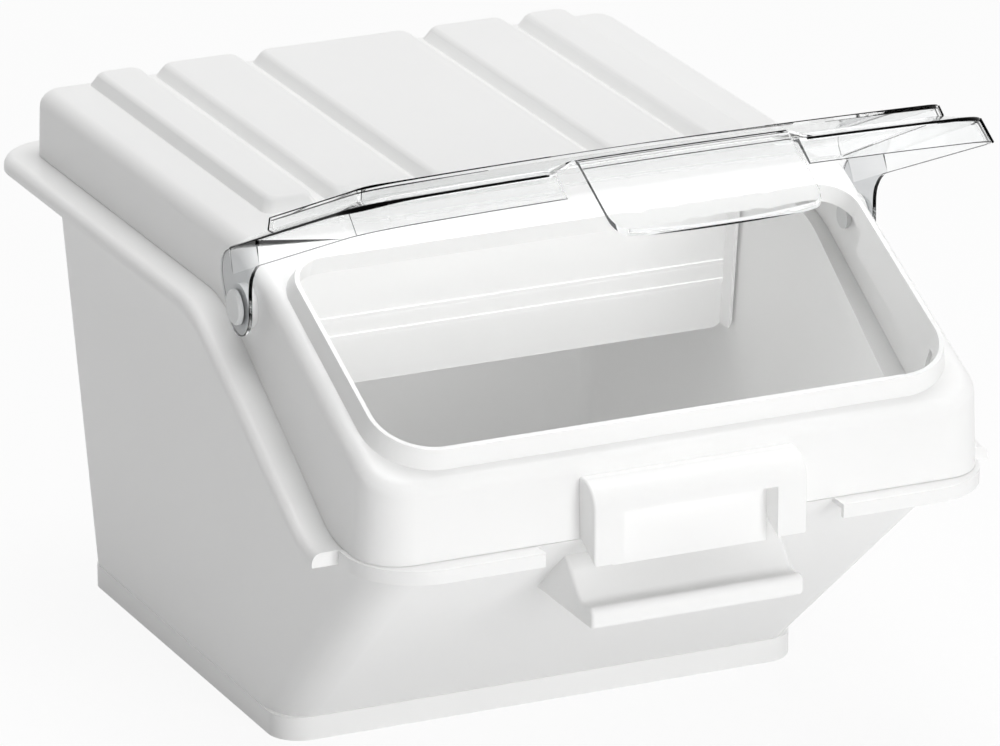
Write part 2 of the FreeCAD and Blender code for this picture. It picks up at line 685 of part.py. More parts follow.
def make_pin(name, side):
    """Turned snap pin: shank through ear and boss, flat head outside, collar inside."""
    inner = "(dim.hood_width / 2 - dim.hood_draft - dim.hood_wall - dim.pin_end_gap)"
    head = "(%s + dim.side_gap)" % DOOR_HALF
    end = "(%s + dim.pin_head_thickness)" % head
    corners = [("%s - dim.pin_collar_thickness" % inner, "0", SQUARE), (end, "0", SQUARE),
               (end, "dim.pin_head_radius - dim.pin_bevel", SQUARE),
               ("%s - dim.pin_bevel" % end, "dim.pin_head_radius", SQUARE),
               (head, "dim.pin_head_radius", SQUARE), (head, "dim.pin_radius", SQUARE),
               (inner, "dim.pin_radius", SQUARE), (inner, "dim.pin_collar_radius", SQUARE),
               ("%s - dim.pin_collar_thickness" % inner, "dim.pin_collar_radius", SQUARE)]
    pin = doc.addObject("Part::Revolution", name + "_turned")
    pin.Source = outline(name + "_line", corners)
    pin.Axis = FreeCAD.Vector(1, 0, 0)
    pin.Angle = 360
    pin.Solid = True
    if side < 0:
        pin.Placement.Rotation = FreeCAD.Rotation(FreeCAD.Vector(0, 0, 1), 180)
    pin.setExpression("Placement.Base.y", PIVOT_Y)
    pin.setExpression("Placement.Base.z", "dim.pivot_height")
    pin.Label = name
    return pin


# Door, built flat with the pivot axis through its origin, then turned up

def door_layer(name, inset, drop, rear):
    """Three bands stacked: skirt to crease, crease to ledge, and the pan's wall on the ledge."""
    def line(level, half, reach, back, rise, radius, back_radius):
        side = "%s - (%s)" % (half, inset)
        front = "-(%s) + (%s)" % (reach, inset)
        return plan("%s_%s_line" % (name, level), side, front, back, "%s - (%s)" % (radius, inset),
                    back_radius, rise)

    ledge_rise = "dim.ledge_rise - (%s)" % drop
    ledge = (LEDGE_HALF, "dim.ledge_reach")
    rear_radius = "dim.pan_rear_radius - (%s)" % inset
    skirt_line = line("skirt", DOOR_HALF, "dim.skirt_reach", rear, "dim.skirt_rise",
                      "dim.skirt_corner_radius", SQUARE)
    crease_line = line("crease", CREASE_HALF, "dim.crease_reach", rear, "dim.crease_rise - (%s)" % drop,
                       "dim.crease_corner_radius", SQUARE)
    ledge_line = line("ledge", *ledge, rear, ledge_rise, "dim.ledge_corner_radius", SQUARE)
    foot_line = line("foot", *ledge, "-(dim.ledge_rear + (%s))" % inset, ledge_rise,
                     "dim.ledge_corner_radius", rear_radius)
    pan_line = line("pan", PAN_HALF, "dim.pan_reach", "-(dim.pan_rear + (%s))" % inset,
                    "dim.pan_rise - (%s)" % inset, "dim.pan_corner_radius", rear_radius)
    return join(name, [loft(name + "_skirt", skirt_line, crease_line),
                       loft(name + "_ledge", crease_line, ledge_line),
                       loft(name + "_pan", foot_line, pan_line)])


def make_door():
    tray = door_layer("door_tray", "0", "0", "dim.ear_rear")
    hollow = door_layer("door_hollow", "dim.door_wall", "dim.ledge_wall", "dim.ear_rear + dim.overrun")
    rear_half = "(%s - dim.ear_band)" % EAR_INSIDE
    rear = box("door_rear", ("-" + rear_half, "-dim.band_rear", "-dim.overrun"),
               (rear_half, "dim.ear_rear + dim.overrun", "dim.pan_rise + dim.overrun"))
    roof, throat = make_tab_roof()
    shell = cut("door_shell", join("door_blank", [tray, roof]),
                join("door_waste", [hollow, throat, rear]))
    pieces = [shell, make_tab()]
    holes = []
    for name, side in (("left", -1), ("right", 1)):
        pieces.append(make_ear(name + "_ear", side))
        hole = doc.addObject("Part::Cylinder", name + "_ear_hole")
        hole.setExpression("Radius", "dim.pin_radius + dim.pin_fit")
        hole.setExpression("Height", "dim.door_wall + 2 * dim.overrun")
        hole.Placement.Rotation = FreeCAD.Rotation(FreeCAD.Vector(0, 1, 0), 90)
        start = EAR_INSIDE if side > 0 else "-" + DOOR_HALF
        hole.setExpression("Placement.Base.x", start + " - dim.overrun")
        holes.append(hole)
    door = cut("door_body", join("door_solid", pieces), join("door_holes", holes))
    door.Placement.Rotation = FreeCAD.Rotation(FreeCAD.Vector(-1, 0, 0), number("dim.door_open_angle"))
    door.setExpression("Placement.Rotation.Angle", "dim.door_open_angle")
    door.setExpression("Placement.Base.y", PIVOT_Y)
    door.setExpression("Placement.Base.z", "dim.pivot_height")
    door.Label = "door"
    return door


def make_tab_roof():
    """Low roof from the pan's front out to the finger tab, and the space under it."""
    back = "-dim.crease_reach / 2"
    low = plan("tab_roof_foot_line", "dim.tab_foot_width / 2", "-dim.tab_bend_reach", back,
               SQUARE, SQUARE, "dim.crease_rise")
    high = plan("tab_roof_top_line", "dim.tab_roof_width / 2",
                "-dim.tab_bend_reach + dim.tab_bend_radius / 2", back, SQUARE, SQUARE, "dim.tab_roof_rise")
    roof = loft("tab_roof", low, high)
    front = "-dim.tab_tip_reach"
    rise_share = "dim.door_wall / (dim.tab_roof_rise - dim.crease_rise)"
    narrow = "dim.tab_roof_width / 2 + (dim.tab_foot_width - dim.tab_roof_width) / 2 * %s" % rise_share
    inner_half = "(dim.tab_foot_width / 2 - dim.tab_wall_run)"
    inner_low = plan("throat_foot_line", inner_half, front, back, SQUARE, SQUARE, "dim.crease_rise")
    inner_high = plan("throat_top_line", "%s - dim.tab_wall_run" % narrow, front, back,
                      SQUARE, SQUARE, "dim.tab_roof_rise - dim.door_wall")
    notch = box("throat_notch", ("-" + inner_half, front, "-dim.overrun"),
                (inner_half, back, "dim.crease_rise"))
    return roof, join("throat", [loft("throat_upper", inner_low, inner_high), notch])


def make_tab():
    """Finger tab bent down from its roof, with a bowed lower edge."""
    bend = "atan2(dim.tab_drop; dim.tab_tip_reach - dim.tab_bend_reach)"
    root = "-dim.pan_reach"
    under = "dim.tab_roof_rise - dim.door_wall"
    tip = "(dim.tab_roof_rise - dim.tab_drop)"
    inner_bend = "-dim.tab_bend_reach + dim.door_wall * tan(%s / 2)" % bend
    corners = [("-dim.tab_tip_reach", tip, SQUARE),
               ("-dim.tab_tip_reach + dim.door_wall * sin(%s)" % bend,
                "%s - dim.door_wall * cos(%s)" % (tip, bend), SQUARE),
               (inner_bend, under, "dim.tab_bend_radius - dim.door_wall"),
               (root, under, SQUARE), (root, "dim.tab_roof_rise", SQUARE),
               ("-dim.tab_bend_reach", "dim.tab_roof_rise", "dim.tab_bend_radius")]
    strip = extrude("tab_strip", side_view("tab_line", corners), "dim.tab_roof_width", True)
    half = "dim.tab_width / 2"
    sides = "(-dim.tab_tip_reach + dim.tab_bow)"
    face = outline("tab_face_line", [("-" + half, sides, "dim.tab_corner_radius"),
                                     ("0", "-dim.tab_tip_reach - dim.tab_bow / 2", "dim.tab_bow_radius"),
                                     (half, sides, "dim.tab_corner_radius"),
                                     (half, root, SQUARE), ("-" + half, root, SQUARE)])
    face.setExpression("Placement.Base.z", "%s - dim.overrun" % tip)
    return overlap("tab", [strip, extrude("tab_face", face, "dim.tab_drop + 2 * dim.overrun")])


def make_ear(name, side):
    """Broad rounded tongue that hangs from the crease and turns on the pivot."""
    swing = "dim.door_open_angle"
    radius = "dim.ear_radius"
    start = EAR_INSIDE if side > 0 else "-" + DOOR_HALF
    disc = doc.addObject("Part::Cylinder", name + "_disc")
    disc.setExpression("Radius", radius)
    disc.setExpression("Height", "dim.door_wall")
    disc.Placement.Rotation = FreeCAD.Rotation(FreeCAD.Vector(0, 1, 0), 90)
    disc.setExpression("Placement.Base.x", start)
    across = "%s * cos(%s)" % (radius, swing)
    down = "%s * sin(%s)" % (radius, swing)
    front_top = "-(%s + tan(%s) * (dim.skirt_rise + %s))" % (across, swing, down)
    corners = [("-" + across, "-" + down, SQUARE), (radius, "0", SQUARE),
               (radius, "dim.ear_top_rise", "dim.ear_top_radius"),
               ("%s - dim.ear_root" % front_top, "dim.ear_top_rise", SQUARE),
               ("%s - dim.ear_root" % front_top, "dim.skirt_rise", SQUARE),
               (front_top, "dim.skirt_rise", "dim.ear_fillet")]
    line = side_view(name + "_line", corners)
    line.setExpression("Placement.Base.x", start)
    return join(name, [disc, extrude(name + "_tongue", line, "dim.door_wall")])


# Baffle

def make_baffle():
    """Plate hung from the roof, its sides turned forward, that holds the contents back."""
    face = "(%s + dim.baffle_setback)" % BASE_FRONT
    lean = "dim.wall_flare / (dim.rim_height - dim.foot_height)"
    top = "(dim.hood_height - dim.hood_wall)"
    inside = "(dim.base_width / 2 - dim.wall - dim.baffle_side_gap)"
    low_half = "(%s + %s * (dim.baffle_bottom - dim.foot_height))" % (inside, lean)

    def panel(name, inset, low, high, radius):
        corners = []
        for level, shift, bend in ((low, 1, radius), (high, -1, SQUARE)):
            half = "%s + %s * (%s - dim.baffle_bottom) - (%s)" % (low_half, lean, level, inset)
            corners += [("%s(%s)" % ("-" if shift > 0 else "", half), level, bend),
                        ("%s(%s)" % ("" if shift > 0 else "-", half), level, bend)]
        sketch = outline(name + "_line", corners)
        sketch.Placement = FreeCAD.Placement(FreeCAD.Vector(), FRONT)
        return sketch

    tray_line = panel("baffle_tray", "0", "dim.baffle_bottom", top, "dim.baffle_corner_radius")
    tray_line.setExpression("Placement.Base.y", "%s + dim.baffle_thickness" % face)
    tray = extrude("baffle_tray", tray_line, "dim.baffle_flange")
    space_line = panel("baffle_space", "dim.baffle_thickness", "dim.baffle_bottom - dim.overrun",
                       top + " + dim.overrun", SQUARE)
    space_line.setExpression("Placement.Base.y", face)
    space = extrude("baffle_space", space_line, "dim.baffle_flange")
    foot = box("baffle_foot", ("-dim.baffle_foot_width / 2", face, "%s - dim.baffle_thickness" % top),
               ("dim.baffle_foot_width / 2", "%s + dim.baffle_thickness + dim.baffle_foot_depth" % face, top))
    beads = []
    for name, level in (("upper_bead_bar", "dim.upper_bead"), ("lower_bead_bar", "dim.lower_bead")):
        beads.append(box(name, ("-(%s)" % low_half, "%s - dim.bead_proud" % face, level),
                         (low_half, "%s + dim.baffle_thickness" % face, level + " + dim.bead_height")))
    baffle = join("baffle_body", [cut("baffle_shell", tray, space), foot] + beads)
    baffle.Label = "baffle"
    return baffle


PARTS = [make_tub(), make_hood(), make_door(), make_baffle(),
         make_pin("hinge_pin_left", -1), make_pin("hinge_pin_right", 1)]
doc.recompute()
for item in doc.Objects:
    if "Invalid" in item.State or "Error" in item.State:
        raise RuntimeError("%s did not build: %s" % (item.Name, item.State))
for part in PARTS:
    if part.Shape.isNull() or not part.Shape.isValid() or len(part.Shape.Solids) != 1:
        raise RuntimeError("%s is not one sound solid" % part.Label)
os.makedirs("parts", exist_ok=True)
for part in PARTS:
    part.Shape.exportStep("parts/%s.step" % part.Label)
    size = part.Shape.optimalBoundingBox(False)
    print("%-16s %9.0f mm3  x %7.1f %7.1f  y %7.1f %7.1f  z %7.1f %7.1f" % (
        part.Label, part.Shape.Volume, size.XMin, size.XMax, size.YMin, size.YMax, size.ZMin, size.ZMax))
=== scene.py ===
import math

import bmesh
import bpy
import numpy as np
from mathutils import Matrix, Vector


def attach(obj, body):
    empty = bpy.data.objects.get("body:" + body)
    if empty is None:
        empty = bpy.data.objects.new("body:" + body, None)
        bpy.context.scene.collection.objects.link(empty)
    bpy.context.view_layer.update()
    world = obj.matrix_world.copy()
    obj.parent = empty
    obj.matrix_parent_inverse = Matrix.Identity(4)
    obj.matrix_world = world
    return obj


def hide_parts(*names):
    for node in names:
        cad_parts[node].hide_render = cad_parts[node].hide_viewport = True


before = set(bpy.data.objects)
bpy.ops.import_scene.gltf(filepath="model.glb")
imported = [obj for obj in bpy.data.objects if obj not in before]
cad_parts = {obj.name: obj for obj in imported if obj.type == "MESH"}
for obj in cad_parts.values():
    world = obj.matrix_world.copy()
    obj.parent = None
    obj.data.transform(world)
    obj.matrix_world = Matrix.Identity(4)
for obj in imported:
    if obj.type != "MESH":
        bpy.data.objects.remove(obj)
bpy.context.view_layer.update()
MM = 0.001
MICRON = 0.000001
PLAIN_WHITE = (1.0, 1.0, 1.0, 1.0)


# Camera, at the photograph's viewing angle on a 1000 by 746 image

CAMERA_PLACE = Vector((-2.183, -4.857, 2.075))
CAMERA_FORWARD = Vector((0.3919, 0.8559, -0.3376))
CAMERA_UP = Vector((0.1405, 0.3070, 0.9413))
CAMERA_LENS = 324.0
CAMERA_SENSOR = 36.0
CAMERA_SIGHT = 50.0


def make_camera():
    """A long lens far from the bin, looking along CAMERA_FORWARD."""
    data = bpy.data.cameras.new("camera")
    data.lens = CAMERA_LENS
    data.sensor_width = CAMERA_SENSOR
    data.clip_end = CAMERA_SIGHT
    camera = bpy.data.objects.new("camera", data)
    back = -CAMERA_FORWARD.normalized()
    up = (CAMERA_UP - back * CAMERA_UP.dot(back)).normalized()
    right = up.cross(back)
    turn = Matrix((right, up, back)).transposed().to_4x4()
    camera.matrix_world = Matrix.Translation(CAMERA_PLACE) @ turn
    bpy.context.scene.collection.objects.link(camera)
    bpy.context.scene.camera = camera


# Studio; lamps are given as place, target, size and power

FRONT_LAMP = ((0.4, -3.4, 0.85), (0, -0.15, 0.25), 1.3, 49)
OVERHEAD_LAMP = ((0.3, 0.2, 3.4), (0, -0.1, 0.2), 2.4, 61)
AMBIENT = 0.3
FLOOR_HALF = 12.0
FLOOR_LIT = (0.9, 0.9, 0.9, 1.0)
FLOOR_SEEN = (0.95, 0.95, 0.95, 1.0)
FLOOR_GLOW = 0.9


def softbox(name, place, target, size, power):
    """A square lamp aimed at a point, unseen by mirrors so that the clear door shows no square."""
    data = bpy.data.lights.new(name, "AREA")
    data.size = size
    data.energy = power
    lamp = bpy.data.objects.new(name, data)
    lamp.location = place
    lamp.rotation_mode = "QUATERNION"
    lamp.rotation_quaternion = (Vector(target) - Vector(place)).to_track_quat("-Z", "Y")
    lamp.visible_glossy = False
    bpy.context.scene.collection.objects.link(lamp)


def combined(tree, operation, first, second):
    """Result of a maths node on a socket and a second socket or number."""
    node = tree.nodes.new("ShaderNodeMath")
    node.operation = operation
    tree.links.new(first, node.inputs[0])
    if isinstance(second, float):
        node.inputs[1].default_value = second
    else:
        tree.links.new(second, node.inputs[1])
    return node.outputs[0]


def mixed(tree, share, first, second, output):
    """Send a mix of two shaders to the surface of an output node."""
    mix = tree.nodes.new("ShaderNodeMixShader")
    for socket, source in zip(mix.inputs, (share, first.outputs[0], second.outputs[0])):
        tree.links.new(source, socket)
    tree.links.new(mix.outputs[0], tree.nodes.new(output).inputs["Surface"])


def background_rays(tree):
    """One where a ray comes from the camera, a mirror or clear plastic: these see plain white."""
    path = tree.nodes.new("ShaderNodeLightPath").outputs
    mirrored = combined(tree, "MAXIMUM", path["Is Camera Ray"], path["Is Glossy Ray"])
    return combined(tree, "MAXIMUM", mirrored, path["Is Transmission Ray"])


def make_world(scene):
    """White surroundings: dim as a light, plain white where they are seen."""
    world = bpy.data.worlds.new("studio")
    scene.world = world
    world.use_nodes = True
    tree = world.node_tree
    tree.nodes.clear()
    skies = []
    for strength in (AMBIENT, 1.0):
        sky = tree.nodes.new("ShaderNodeBackground")
        sky.inputs["Color"].default_value = PLAIN_WHITE
        sky.inputs["Strength"].default_value = strength
        skies.append(sky)
    mixed(tree, background_rays(tree), *skies, "ShaderNodeOutputWorld")


def floor_paint():
    """Pale floor that fades into the white surroundings but keeps the bin's shadow."""
    paint = bpy.data.materials.new("pale_floor")
    paint.use_nodes = True
    tree = paint.node_tree
    tree.nodes.clear()
    seen = background_rays(tree)
    tint = tree.nodes.new("ShaderNodeMix")
    tint.data_type = "RGBA"
    share, lit, plain = tint.inputs[0], tint.inputs[6], tint.inputs[7]
    lit.default_value = FLOOR_LIT
    plain.default_value = FLOOR_SEEN
    tree.links.new(seen, share)
    matt = tree.nodes.new("ShaderNodeBsdfDiffuse")
    tree.links.new(tint.outputs[2], matt.inputs["Color"])
    glow = tree.nodes.new("ShaderNodeEmission")
    glow.inputs["Strength"].default_value = 1.0
    glow_share = combined(tree, "MULTIPLY", seen, FLOOR_GLOW)
    mixed(tree, glow_share, matt, glow, "ShaderNodeOutputMaterial")
    return paint


def make_studio():
    """White surroundings, a pale floor, and soft lamps in front and above."""
    scene = bpy.context.scene
    scene.view_settings.view_transform = "Standard"
    make_world(scene)
    softbox("front", *FRONT_LAMP)
    softbox("overhead", *OVERHEAD_LAMP)
    mesh = bpy.data.meshes.new("floor")
    corners = [(x * FLOOR_HALF, y * FLOOR_HALF, 0) for x, y in ((-1, -1), (1, -1), (1, 1), (-1, 1))]
    mesh.from_pydata(corners, [], [(0, 1, 2, 3)])
    floor = bpy.data.objects.new("floor", mesh)
    scene.collection.objects.link(floor)
    mesh.materials.append(floor_paint())


# Finishes

CLOUD_SCALE = 9.0
CLOUD_DETAIL = 3.0
CLOUD_BAND = (0.3, 0.7)
CLOUD_SHADE = 0.985
GRAIN_SCALE = 700.0
GRAIN_DEPTH = 0.0002


def plastic(name, colour, roughness, spread, grain=0.0, transmission=0.0, index=1.49, glow=0.0):
    """Moulded plastic: a faint cloud in colour and gloss, and a fine grain in the surface.

    The glow is painted light that brightens the inside in place of daylight through the thin
    walls; it counts only where the mesh is marked with painted_light.
    """
    paint = bpy.data.materials.new(name)
    paint.use_nodes = True
    tree = paint.node_tree
    shader = tree.nodes["Principled BSDF"]
    place = tree.nodes.new("ShaderNodeTexCoord")
    cloud = tree.nodes.new("ShaderNodeTexNoise")
    cloud.inputs["Scale"].default_value = CLOUD_SCALE
    cloud.inputs["Detail"].default_value = CLOUD_DETAIL
    tree.links.new(place.outputs["Object"], cloud.inputs["Vector"])
    tone = tree.nodes.new("ShaderNodeValToRGB")
    for stop, position, shade in zip(tone.color_ramp.elements, CLOUD_BAND, (CLOUD_SHADE, 1.0)):
        stop.position = position
        stop.color = (*(c * shade for c in colour), 1.0)
    tree.links.new(cloud.outputs["Fac"], tone.inputs["Fac"])
    tree.links.new(tone.outputs["Color"], shader.inputs["Base Color"])
    gloss = tree.nodes.new("ShaderNodeMapRange")
    gloss.inputs["To Min"].default_value = roughness - spread
    gloss.inputs["To Max"].default_value = roughness + spread
    tree.links.new(cloud.outputs["Fac"], gloss.inputs["Value"])
    tree.links.new(gloss.outputs["Result"], shader.inputs["Roughness"])
    if grain:
        fine = tree.nodes.new("ShaderNodeTexNoise")
        fine.inputs["Scale"].default_value = GRAIN_SCALE
        tree.links.new(place.outputs["Object"], fine.inputs["Vector"])
        bump = tree.nodes.new("ShaderNodeBump")
        bump.inputs["Strength"].default_value = grain
        bump.inputs["Distance"].default_value = GRAIN_DEPTH
        tree.links.new(fine.outputs["Fac"], bump.inputs["Height"])
        tree.links.new(bump.outputs["Normal"], shader.inputs["Normal"])
    # Painted light: an emission as strong as the painted_light mark times the glow
    if glow:
        painted_light = tree.nodes.new("ShaderNodeAttribute")
        painted_light.attribute_name = "painted_light"
        strength = combined(tree, "MULTIPLY", painted_light.outputs["Fac"], glow)
        tree.links.new(strength, shader.inputs["Emission Strength"])
        shader.inputs["Emission Color"].default_value = PLAIN_WHITE
    shader.inputs["IOR"].default_value = index
    shader.inputs["Transmission Weight"].default_value = transmission
    return paint


def clear_plastic(name, colour, roughness, spread, index):
    """Plastic that lets the light through, tinted by its colour at each surface."""
    return plastic(name, colour, roughness, spread, transmission=1.0, index=index)


# The glow is painted light on the marked faces inside the tub and hood and on the baffle
WHITE = plastic("moulded_white", (0.93, 0.93, 0.925), 0.36, 0.05, 0.08, glow=0.065)
PIVOT = plastic("pivot_white", (0.76, 0.77, 0.77), 0.3, 0.04, 0.05)
CLEAR = clear_plastic("clear_cover", (0.985, 0.99, 0.99), 0.03, 0.015, 1.2)
# Painted shade on the clear door: near-black folds and edges stand for the dark that refraction
# shows there
FOLD_SHADE = clear_plastic("clear_cover_fold_shade", (0.001, 0.001, 0.0011), 0.06, 0.02, 1.1)
EDGE_SHADE = clear_plastic("clear_cover_edge_shade", (0.03, 0.031, 0.032), 0.06, 0.02, 1.1)
# Painted shade: grey on the ears' flat sides, for the darker hood seen through them
EAR_SHADE = clear_plastic("clear_cover_ear_shade", (0.66, 0.67, 0.68), 0.05, 0.015, 1.2)
# Painted highlight: the opaque white rim along the door's tab
RIM_HIGHLIGHT = plastic("clear_cover_rim_highlight", (0.95, 0.955, 0.96), 0.3, 0.05)


# Mouldings; angles in degrees

FLAT = 0.3
CORNER = 40
SHARP = 32
ZERO_WIDTH = 4 * MICRON


def merged(node):
    """Mesh of a CAD solid with equal corners merged and flat faces joined.

    Corners count as equal when they agree to a micrometre: each is rounded to a whole number
    and np.unique keeps one of each, so that the triangles share it.
    """
    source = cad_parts[node].data
    places = np.empty(len(source.vertices) * 3, np.float32)
    source.vertices.foreach_get("co", places)
    places = places.reshape(-1, 3)
    corners = np.empty(len(source.loops), np.int32)
    source.loops.foreach_get("vertex_index", corners)
    keys = np.round(places / MICRON).astype(np.int64)
    _, first, back = np.unique(keys, axis=0, return_index=True, return_inverse=True)
    rows = back.reshape(-1)[corners].reshape(-1, 3)
    sound = np.all(rows != np.roll(rows, 1, axis=1), axis=1)
    mesh = bpy.data.meshes.new(node + "_moulding")
    mesh.from_pydata(places[first].tolist(), [], rows[sound].tolist())
    shape = bmesh.new()
    shape.from_mesh(mesh)
    bmesh.ops.dissolve_limit(shape, angle_limit=math.radians(FLAT), use_dissolve_boundaries=False,
                             verts=shape.verts[:], edges=shape.edges[:])
    return mesh, shape


def fold(edge):
    """Angle in degrees between the two faces of an edge; negative in a hollow corner."""
    return math.degrees(edge.calc_face_angle_signed(0.0))


def middle(edge):
    """Place halfway along an edge."""
    return (edge.verts[0].co + edge.verts[1].co) / 2


def corner(edge):
    """Whether an edge is an outer corner."""
    return fold(edge) > CORNER


def soften(shape, width, segments, wanted, slot=-1, clamp=True):
    """Round the wanted edges to a width, in the material of a slot or of the faces beside them."""
    chosen = [edge for edge in shape.edges if len(edge.link_faces) == 2 and wanted(edge)]
    if chosen:
        bmesh.ops.bevel(shape, geom=chosen, offset=width, offset_type="OFFSET", segments=segments,
                        profile=0.5, affect="EDGES", clamp_overlap=clamp, material=slot,
                        loop_slide=True, miter_outer="ARC", miter_inner="SHARP", spread=0.0,
                        harden_normals=False)


def finish_moulding(mesh, shape, body, node, paints, sharp=SHARP):
    """Hand the rounded copy over in place of its CAD node, with flat faces kept flat."""
    bmesh.ops.dissolve_degenerate(shape, dist=ZERO_WIDTH, edges=shape.edges[:])
    shape.to_mesh(mesh)
    shape.free()
    mesh.shade_smooth()
    mesh.set_sharp_from_angle(angle=math.radians(sharp))
    for paint in paints:
        mesh.materials.append(paint)
    piece = bpy.data.objects.new(mesh.name, mesh)
    bpy.context.scene.collection.objects.link(piece)
    flat = piece.modifiers.new("flat_faces", "WEIGHTED_NORMAL")
    flat.keep_sharp = True
    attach(piece, body)
    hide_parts(node)
    return piece


FLANK_SLOPE = 0.3


def mark_painted_light(mesh, low, high, towards, level, ridge_highlight=1.0):
    """Mark for painted light the faces whose middle lies in a box and whose normal looks to a
    place.

    The mark is the level of painted glow, and a ridge's flanks, which slope up or down, get it
    times the ridge highlight factor, a painted highlight.
    """
    count = len(mesh.polygons)
    centre = np.empty(count * 3, np.float32)
    normal = np.empty(count * 3, np.float32)
    mesh.polygons.foreach_get("center", centre)
    mesh.polygons.foreach_get("normal", normal)
    centre = centre.reshape(-1, 3)
    normal = normal.reshape(-1, 3)
    within = np.all((centre > np.array(low)) & (centre < np.array(high)), axis=1)
    facing = np.sum(normal * (np.array(towards) - centre), axis=1) > 0
    flank = np.where(np.abs(normal[:, 2]) > FLANK_SLOPE, ridge_highlight, 1.0).astype(np.float32)
    mark = mesh.attributes.new("painted_light", "FLOAT", "FACE")
    mark.data.foreach_set("value", (within & facing).astype(np.float32) * level * flank)


# Tub, hood and baffle: roundings, and the places in metres that pick out edges.
# Each painted light table gives its box's low and high corner, the place its faces look to,
# and the level of painted glow.

MOULD_ROUND = 1.0 * MM
END_PLANES = (0.0695, 0.0705)

LIP_ROUND = 4.0 * MM
LIP_CORNER = 60
LIP_FRONT = -0.31
LIP_LEVEL = 0.1868
HANDLE_ROUND = 2.4 * MM
HANDLE_FRONT = -0.29
HANDLE_TOP = 0.171
# Painted light on the faces inside the tub
TUB_PAINTED_LIGHT = ((-0.2, -0.36, 0.001), (0.2, 0.18, 0.284), (0, -0.03, 0.2), 1.2)

ROOF_ROUND = 3.0 * MM
ROOF_LEVEL = 0.3355
BLOCK_ROUND = 1.8 * MM
BLOCK_CORNER = 50
BLOCK_FRONT = -0.34
BLOCK_FOOT = 0.178
PLATE_BRIDGE = 1.5 * MM
PLATE_HALF = 0.051
PLATE_FRONT = -0.3585
PLATE_TOP = 0.2103
PLATE_SLACK = 0.0004
# Painted light on the faces inside the hood
HOOD_PAINTED_LIGHT = ((-0.205, -0.374, 0.18), (0.205, 0.178, 0.336), (0, -0.1, 0.24), 0.7)

BAFFLE_ROUND = 0.5 * MM
# Painted highlight: the ridge flanks get this many times the baffle's painted light
BAFFLE_RIDGE_HIGHLIGHT = 4.0
# Painted light on the baffle's front
BAFFLE_PAINTED_LIGHT = ((-0.2, -0.05, 0.17), (0.2, 0.0, 0.33), (0, -0.3, 0.24), 1.6)


def at_end(place):
    """Whether a place is on one of the planes that end the handle and the block, 70 mm out."""
    return END_PLANES[0] < abs(place.x) < END_PLANES[1]


def make_tub():
    """Tub with a rolled front lip, a soft handle and eased edges."""
    mesh, shape = merged("tub")

    def front_lip(edge):
        place = middle(edge)
        return fold(edge) > LIP_CORNER and place.y < LIP_FRONT and place.z > LIP_LEVEL

    def handle_end(edge):
        place = middle(edge)
        return corner(edge) and at_end(place) and place.y < HANDLE_FRONT and place.z < HANDLE_TOP

    soften(shape, LIP_ROUND, 4, front_lip)
    soften(shape, HANDLE_ROUND, 4, handle_end, clamp=False)
    soften(shape, MOULD_ROUND, 3, corner)
    piece = finish_moulding(mesh, shape, "tub", "tub", [WHITE])
    mark_painted_light(piece.data, *TUB_PAINTED_LIGHT)


def make_hood():
    """Hood with soft roof ribs, block and lip.

    The top edge of the block's recess lies where the block's rounding starts. It goes down by
    PLATE_BRIDGE, so that the face between the two has a width.
    """
    mesh, shape = merged("hood")
    for vert in shape.verts:
        place = vert.co
        at_top = abs(place.z - PLATE_TOP) < PLATE_SLACK
        if abs(place.x) < PLATE_HALF and place.y < PLATE_FRONT and at_top:
            place.z -= PLATE_BRIDGE

    def roof(edge):
        return corner(edge) and middle(edge).z > ROOF_LEVEL

    def block_end(edge):
        place = middle(edge)
        ahead = place.y < BLOCK_FRONT and place.z > BLOCK_FOOT
        return fold(edge) > BLOCK_CORNER and at_end(place) and ahead

    soften(shape, ROOF_ROUND, 4, roof)
    soften(shape, BLOCK_ROUND, 3, block_end)
    soften(shape, MOULD_ROUND, 3, corner)
    piece = finish_moulding(mesh, shape, "hood", "hood", [WHITE])
    mark_painted_light(piece.data, *HOOD_PAINTED_LIGHT)


def make_baffle():
    """Baffle with eased edges, and ridges made bright by a painted highlight on their flanks."""
    mesh, shape = merged("baffle")
    soften(shape, BAFFLE_ROUND, 2, corner)
    piece = finish_moulding(mesh, shape, "hood", "baffle", [WHITE])
    mark_painted_light(piece.data, *BAFFLE_PAINTED_LIGHT, BAFFLE_RIDGE_HIGHLIGHT)


# Door, in its own axes: reach runs from the pivot to the tab, rise runs square to the roof

PIVOT_PLACE = np.array((0.0, -0.1694, 0.2939))
OPEN_ANGLE = math.radians(23.8)
REACH = np.array((0.0, -math.cos(OPEN_ANGLE), math.sin(OPEN_ANGLE)))
RISE = np.array((0.0, math.sin(OPEN_ANGLE), math.cos(OPEN_ANGLE)))
DOOR_HALF = 209.6 * MM
DOOR_CUTS = np.linspace(-0.9, 0.9, 19) * DOOR_HALF
DOOR_SHARP = 40
# Slots: painted dark folds, painted dark edges, and painted grey shade on the ears
FOLD_SLOT, EDGE_SLOT, EAR_SHADE_SLOT = 1, 2, 3
CROWN = 3.0 * MM

# Tab: it bends down along TAB_REACH of the reach and TAB_FALL of the rise

TAB_HALF = 68.2 * MM
TAB_BOW = 3.0 * MM
TAB_LENGTH = 62.6
TAB_REACH = 0.627
TAB_FALL = 0.778
TAB_FACE = TAB_FALL * REACH + TAB_REACH * RISE
DROOP = 0.63 * REACH - 0.78 * RISE
DROOP_START = 0.225
DROOP_RUN = 0.028

# Edges of the door: roundings in painted dark shade, and the x, reach and rise in millimetres
# that pick them out. On the far side, which is the right one, the painted dark folds stop short.

